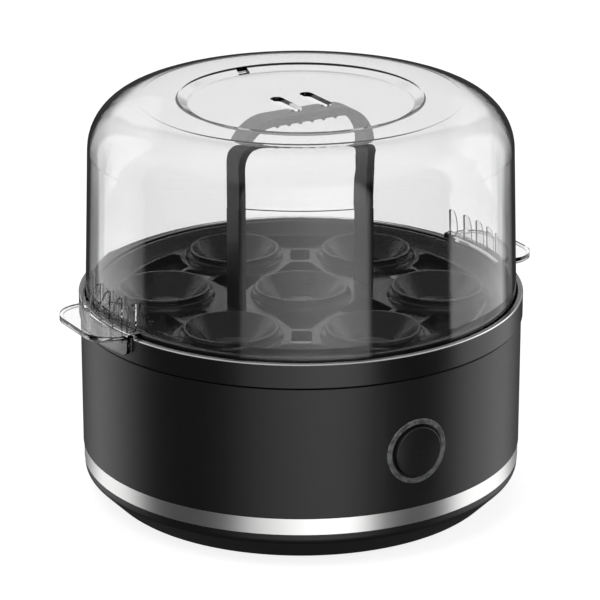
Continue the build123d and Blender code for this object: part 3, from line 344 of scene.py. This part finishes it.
def clear_moulding(name):
    """Clear moulded plastic that lets the lamps through: faint scuffs, and painted shade: darker where seen
    edge on, at the ear edges, and on upright walls and the shoulder.
    """
    wall_level, shoulder_level, flat_level = 0.94, 0.87, 0.965
    edge_on_shade_level, outer_edge_on_shade_level, outline_shade_level, ear_edge_shade_level = 0.44, 0.34, 0.10, 0.42
    edge_on_shade_tint = (0.98, 1.0, 1.0)
    lamp_share, scuff_rough = 0.9, 0.008
    finish = Finish(name)
    _, reach, height = finish.polar()
    scuffs = finish.noise(finish.place(), *LID_SCUFFS)
    edge_on = finish.node("ShaderNodeLayerWeight", None, {"Blend": 0.5}, "Facing")
    _, along, upward = finish.split(finish.node("ShaderNodeNewGeometry", out="Normal"))
    level = upward * upward
    # Painted shade: the clear tint is darker on upright walls, and darker still on the shoulder, than on
    # flat faces.
    shoulder = finish.fade(height, *LID_SHOULDER_HEIGHT)
    wall = finish.mix(shoulder, colour(wall_level), colour(shoulder_level))
    paint = finish.mix(level, wall, colour(flat_level))
    upright = 1.0 - finish.fade(height, *LID_WALL_END_HEIGHT)
    # Painted shade: a grey band, then a darker outer band, where the upright walls are seen edge on,
    # standing in for the dark edges of the clear wall.
    edge_on_shade = finish.fade(edge_on - level * BAND_SHIFT_WHERE_LEVEL, *BAND_EDGE) * upright
    paint = finish.mix(edge_on_shade, paint, colour(edge_on_shade_level, edge_on_shade_tint))
    outer_edge_on_shade = finish.fade(edge_on - level * OUTER_BAND_SHIFT_WHERE_LEVEL, *OUTER_BAND_EDGE) * upright
    paint = finish.mix(outer_edge_on_shade, paint, colour(outer_edge_on_shade_level))
    # Painted shade: a dark outline where the shoulder and top are seen edge on.
    outline_shade = finish.fade(edge_on, *OUTLINE_EDGE) * (1.0 - upright)
    paint = finish.mix(outline_shade, paint, colour(outline_shade_level))
    # Painted shade: dark outlines on the narrow edge faces of the ears.
    above_plate = finish.fade(height, *EAR_PLATE_TOP)
    narrow = 1.0 - finish.fade(level + above_plate * along * along, *NARROW_FACE)
    ear_edge_shade = finish.fade(reach, *EAR_REACH) * finish.fade(height, *EAR_HEIGHT) * narrow
    paint = finish.mix(ear_edge_shade, paint, colour(ear_edge_shade_level))
    body = finish.node("ShaderNodeBsdfPrincipled", None, {
        "Base Color": paint, "Transmission Weight": 1.0, "IOR": PLASTIC_IOR,
        "Roughness": scuffs * scuff_rough, "Normal": finish.bump(scuffs, CLEAR_DEPTH)})
    open_to_lamps = finish.node("ShaderNodeBsdfTransparent", None, {"Color": colour(lamp_share)})
    lamp_ray = finish.node("ShaderNodeLightPath", out="Is Shadow Ray")
    finish.close(finish.mix_shader(lamp_ray, body, open_to_lamps))
    return finish.owner


def frosted(name):
    """Smoky translucent ring that hides its lights."""
    smoke, streak_level, streak_tint = 0.045, 0.12, (0.98, 1, 1.02)
    streak_edge = (0.40, 0.62)
    rough = 0.36
    finish = Finish(name)
    cloud = finish.noise(finish.place(), *FROST_CLOUDS)
    streak = finish.fade(cloud, *streak_edge)
    finish.surface(Base_Color=finish.mix(streak, colour(smoke), colour(streak_level, streak_tint)),
                   Roughness=rough + swing(cloud, SOFT_SWING), IOR=PLASTIC_IOR,
                   Normal=finish.bump(cloud, PIT_DEPTH))
    return finish.owner


nylon = moulded("switch_white", 0.62, (1, 0.99, 0.95), gloss=0.45, wear=0.08)
node_finish = {
    "outer_housing": moulded("housing_black", 0.005, gloss=0.34, specular=0.48, wear=0.06),
    "pan_ring": ring_moulding("ring_black", 0.005),
    "bottom_cover": moulded("cover_black", 0.005, gloss=0.36, specular=0.45),
    "steel_band": brushed_round("band_steel", 0.97, 0.31),
    "rubber_feet": rubber("foot_rubber", 0.02),
    "cord_bush": rubber("bush_rubber", 0.016),
    "dish_seal": moulded("seal_silicone", 0.05, gloss=0.55),
    "heating_dish": spun("dish_steel", 0.90, 0.40, 0.2, metal=0.35),
    "heat_spreader": spun("spreader_aluminium", 0.78, 0.34),
    "heating_element": spun("element_sheath", 0.34, 0.42, 0.6),
    "element_insulators": moulded("insulator_white", 0.72, (1, 0.98, 0.92), gloss=0.6, wear=0.1),
    "thermostat": moulded("thermostat_body", 0.10, (1.0, 0.5, 0.3), gloss=0.45),
    "thermal_fuse": moulded("fuse_sleeve", 0.6, (1, 0.97, 0.86), gloss=0.75),
    "button_holder": moulded("holder_black", 0.012, gloss=0.5),
    "led_board": moulded("board_green", 0.16, (0.2, 1.0, 0.45), gloss=0.35),
    "leds": moulded("led_clear", 0.7, (0.97, 0.99, 1.0), gloss=0.15),
    "switch_body": nylon,
    "switch_plunger": nylon,
    "terminal_block": nylon,
    "light_ring": frosted("light_ring_grey"),
    "button_cap": moulded("button_black", 0.007, gloss=0.30),
    "egg_tray": moulded("tray_black", 0.005, gloss=0.20, specular=0.42, grain=0.002, wear=0.05),
    "tray_handle": moulded("handle_black", 0.006, gloss=0.36, specular=0.36),
    "lid": clear_moulding("lid_clear"),
    "button_spring": sheet_metal("spring_steel", 0.6, 0.2),
    "neutral_wire": insulation("wire_blue", (0.02, 0.08, 0.42)),
    "earth_wire": insulation("wire_green", (0.08, 0.32, 0.05), (0.75, 0.62, 0.04)),
}
shared_finishes = {
    ("dish_clamp_ring", "thermostat_bracket", "fuse_clip"): sheet_metal("clamp_steel", 0.62, 0.38),
    ("clamp_screws", "cover_screws", "bracket_screws", "holder_screws", "terminal_screws"):
        sheet_metal("screw_steel", 0.5, 0.3),
    ("element_tabs", "switch_blades"): sheet_metal("tab_brass", 0.75, 0.3, (1.0, 0.78, 0.38)),
    ("supply_wire", "switched_wire", "fuse_wire", "element_wire"):
        insulation("wire_brown", (0.16, 0.06, 0.025)),
}
for names, finish in shared_finishes.items():
    node_finish.update(dict.fromkeys(names, finish))

for name, piece in nodes.items():
    piece.data.materials.clear()
    piece.data.materials.append(node_finish[name])

# Studio, as reflections see it: (degrees round from the camera, brightness) of cards and dark gaps
DARK = 0.03
CARDS = ((-156, DARK), (-152, 0.22), (-139, 0.26), (-137, 0.80), (-106, 0.80), (-92, 0.35), (-91, DARK),
         (-32.5, DARK), (-30.5, 0.48), (-8, 0.84), (10, 1.2), (25, 1.2), (35, 1.0), (37.5, DARK),
         (85, DARK), (87, 1.0), (135, 0.85), (142, 0.2), (152, 0.15), (156, DARK))
FAR_CARD_SIDES = (152, 160)
FAR_CARD_FOOT = (0.16, 0.26)
FAR_CARD_HEAD = (0.46, 0.56)
FAR_CARD_LEVEL = 0.55
CEILING_EDGE = (0.45, 0.75)
CEILING_LEVEL = 0.30
DEPTHS_EDGE = (-0.62, -0.42)
DEPTHS_LEVEL = 0.05

# Strength of the surroundings for rays that are scattered, go straight or are mirrored
SOFT_STRENGTH = 0.5
SEEN_STRENGTH = 1.0
SHINE_STRENGTH = 1.35

FLOOR_RADIUS = 1.2
FLOOR_SIDES = 96
FLOOR_SHADES = (0.18, 0.20)
FLOOR_GLOW = 0.84

# Lamps: degrees round and up, distance and side in metres, power in watts
LAMPS = {
    "key_lamp": (200, 58, 1.6, 0.7, 14),
    "fill_lamp": (300, 40, 1.8, 1.0, 8),
    "back_lamp": (60, 62, 1.6, 0.9, 12),
    "front_lamp": (239.6, 23, 1.8, 0.25, 8),
}


def light_path(finish):
    """(share of rays mirrored by something, share of rays that come straight or through clear plastic)."""
    node = finish.node("ShaderNodeLightPath").socket.node
    way = {socket.name: Wire(finish, socket) for socket in node.outputs}
    mirrored = way["Glossy Depth"].math("MINIMUM", 1.0)
    scattered = (way["Glossy Depth"] + way["Diffuse Depth"]).math("MINIMUM", 1.0)
    straight = (way["Is Camera Ray"] + way["Is Transmission Ray"]).math("MINIMUM", 1.0) - scattered
    return mirrored, straight.math("MAXIMUM", 0.0)


def at(angle):
    """Place on the ramp round the horizon, for degrees from the camera."""
    return (angle + 180.0) / 360.0


def studio_finish(world):
    """White to straight rays, a dark room with bright cards to mirrored ones, soft light to the rest."""
    finish = Finish("studio", world)
    x, y, z = finish.split(finish.node("ShaderNodeTexCoord", out="Generated"))
    turn = (y.math("ARCTAN2", x) - CAMERA_TURN).math("WRAP", pi, -pi) / (2 * pi) + MIDDLE
    cards = finish.ramp(turn, *((at(angle), level) for angle, level in CARDS))
    near_side, far_side = FAR_CARD_SIDES
    right_part = finish.fade(turn, at(near_side), at(far_side))
    left_part = finish.fade(turn, at(-near_side), at(-far_side))
    far_card = (right_part + left_part) * finish.fade(z, *FAR_CARD_FOOT)
    room = finish.mix(far_card * (1.0 - finish.fade(z, *FAR_CARD_HEAD)), cards, colour(FAR_CARD_LEVEL))
    room = finish.mix(finish.fade(z, *CEILING_EDGE), room, colour(CEILING_LEVEL))
    room = finish.mix(finish.fade(z, *DEPTHS_EDGE), colour(DEPTHS_LEVEL), room)
    soft = finish.node("ShaderNodeBackground", None, {"Color": colour(1.0), "Strength": SOFT_STRENGTH})
    seen = finish.node("ShaderNodeBackground", None, {"Color": colour(1.0), "Strength": SEEN_STRENGTH})
    shine = finish.node("ShaderNodeBackground", None, {"Color": room, "Strength": SHINE_STRENGTH})
    mirrored, straight = light_path(finish)
    finish.close(finish.mix_shader(straight, finish.mix_shader(mirrored, soft, shine), seen))


def floor_finish(name):
    """White from above, with the object's shadow. Open from below and to reflections."""
    finish = Finish(name)
    grain = finish.noise(finish.place(), *FLOOR_GRAIN)
    plain = finish.node("ShaderNodeBsdfDiffuse", None, {"Color": finish.shades(grain, 1.0, FLOOR_SHADES)})
    glow = finish.node("ShaderNodeEmission", None, {"Color": colour(1.0), "Strength": FLOOR_GLOW})
    off = finish.node("ShaderNodeEmission", None, {"Strength": 0.0})
    nothing = finish.node("ShaderNodeBsdfTransparent", None, {"Color": colour(1.0)})
    mirrored, straight = light_path(finish)
    lift = finish.mix_shader(straight, off, glow)
    both = finish.node("ShaderNodeAddShader", None, {0: plain, 1: lift})
    from_below = finish.node("ShaderNodeNewGeometry", out="Backfacing")
    finish.close(finish.mix_shader(mirrored.math("MAXIMUM", from_below), both, nothing))
    return finish.owner


def flat_disc(name, radius, sides):
    angles = [2 * pi * side / sides for side in range(sides)]
    mesh = bpy.data.meshes.new(name)
    rim = [(radius * cos(angle), radius * sin(angle), 0) for angle in angles]
    mesh.from_pydata(rim, [], [tuple(range(sides))])
    piece = bpy.data.objects.new(name, mesh)
    bpy.context.scene.collection.objects.link(piece)
    return piece


def aim_at_part(piece, turn, tilt, reach, from_z=0.0):
    """Puts a lamp or camera round and above the part, at angles in radians, facing its middle."""
    bpy.context.scene.collection.objects.link(piece)
    flat = reach * cos(tilt)
    piece.location = (flat * cos(turn), flat * sin(turn), from_z + reach * sin(tilt))
    sight = Vector((0, 0, LOOK_AT_Z)) - piece.location
    piece.rotation_euler = sight.to_track_quat("-Z", "Y").to_euler()


def add_lamp(name, turn, tilt, reach, size, power):
    """Soft square lamp that shows only by what it lights."""
    light = bpy.data.lights.new(name, "AREA")
    light.shape = "SQUARE"
    light.size = size
    light.energy = power
    piece = bpy.data.objects.new(name, light)
    piece.visible_camera = False
    piece.visible_transmission = False
    piece.visible_glossy = False
    aim_at_part(piece, radians(turn), radians(tilt), reach)


world = bpy.data.worlds.new("studio")
bpy.context.scene.world = world
studio_finish(world)

floor = flat_disc("floor", FLOOR_RADIUS, FLOOR_SIDES)
floor.data.materials.append(floor_finish("pale_floor"))

for name, settings in LAMPS.items():
    add_lamp(name, *settings)

camera_data = bpy.data.cameras.new("camera")
camera_data.lens = LENS
camera_data.sensor_width = SENSOR
camera_data.clip_start = NEAREST_SEEN
camera_data.shift_x, camera_data.shift_y = CAMERA_SHIFT
camera = bpy.data.objects.new("camera", camera_data)
aim_at_part(camera, CAMERA_TURN, CAMERA_TILT, CAMERA_REACH, LOOK_AT_Z)
bpy.context.scene.camera = camera

bpy.context.scene.view_settings.view_transform = "Standard"
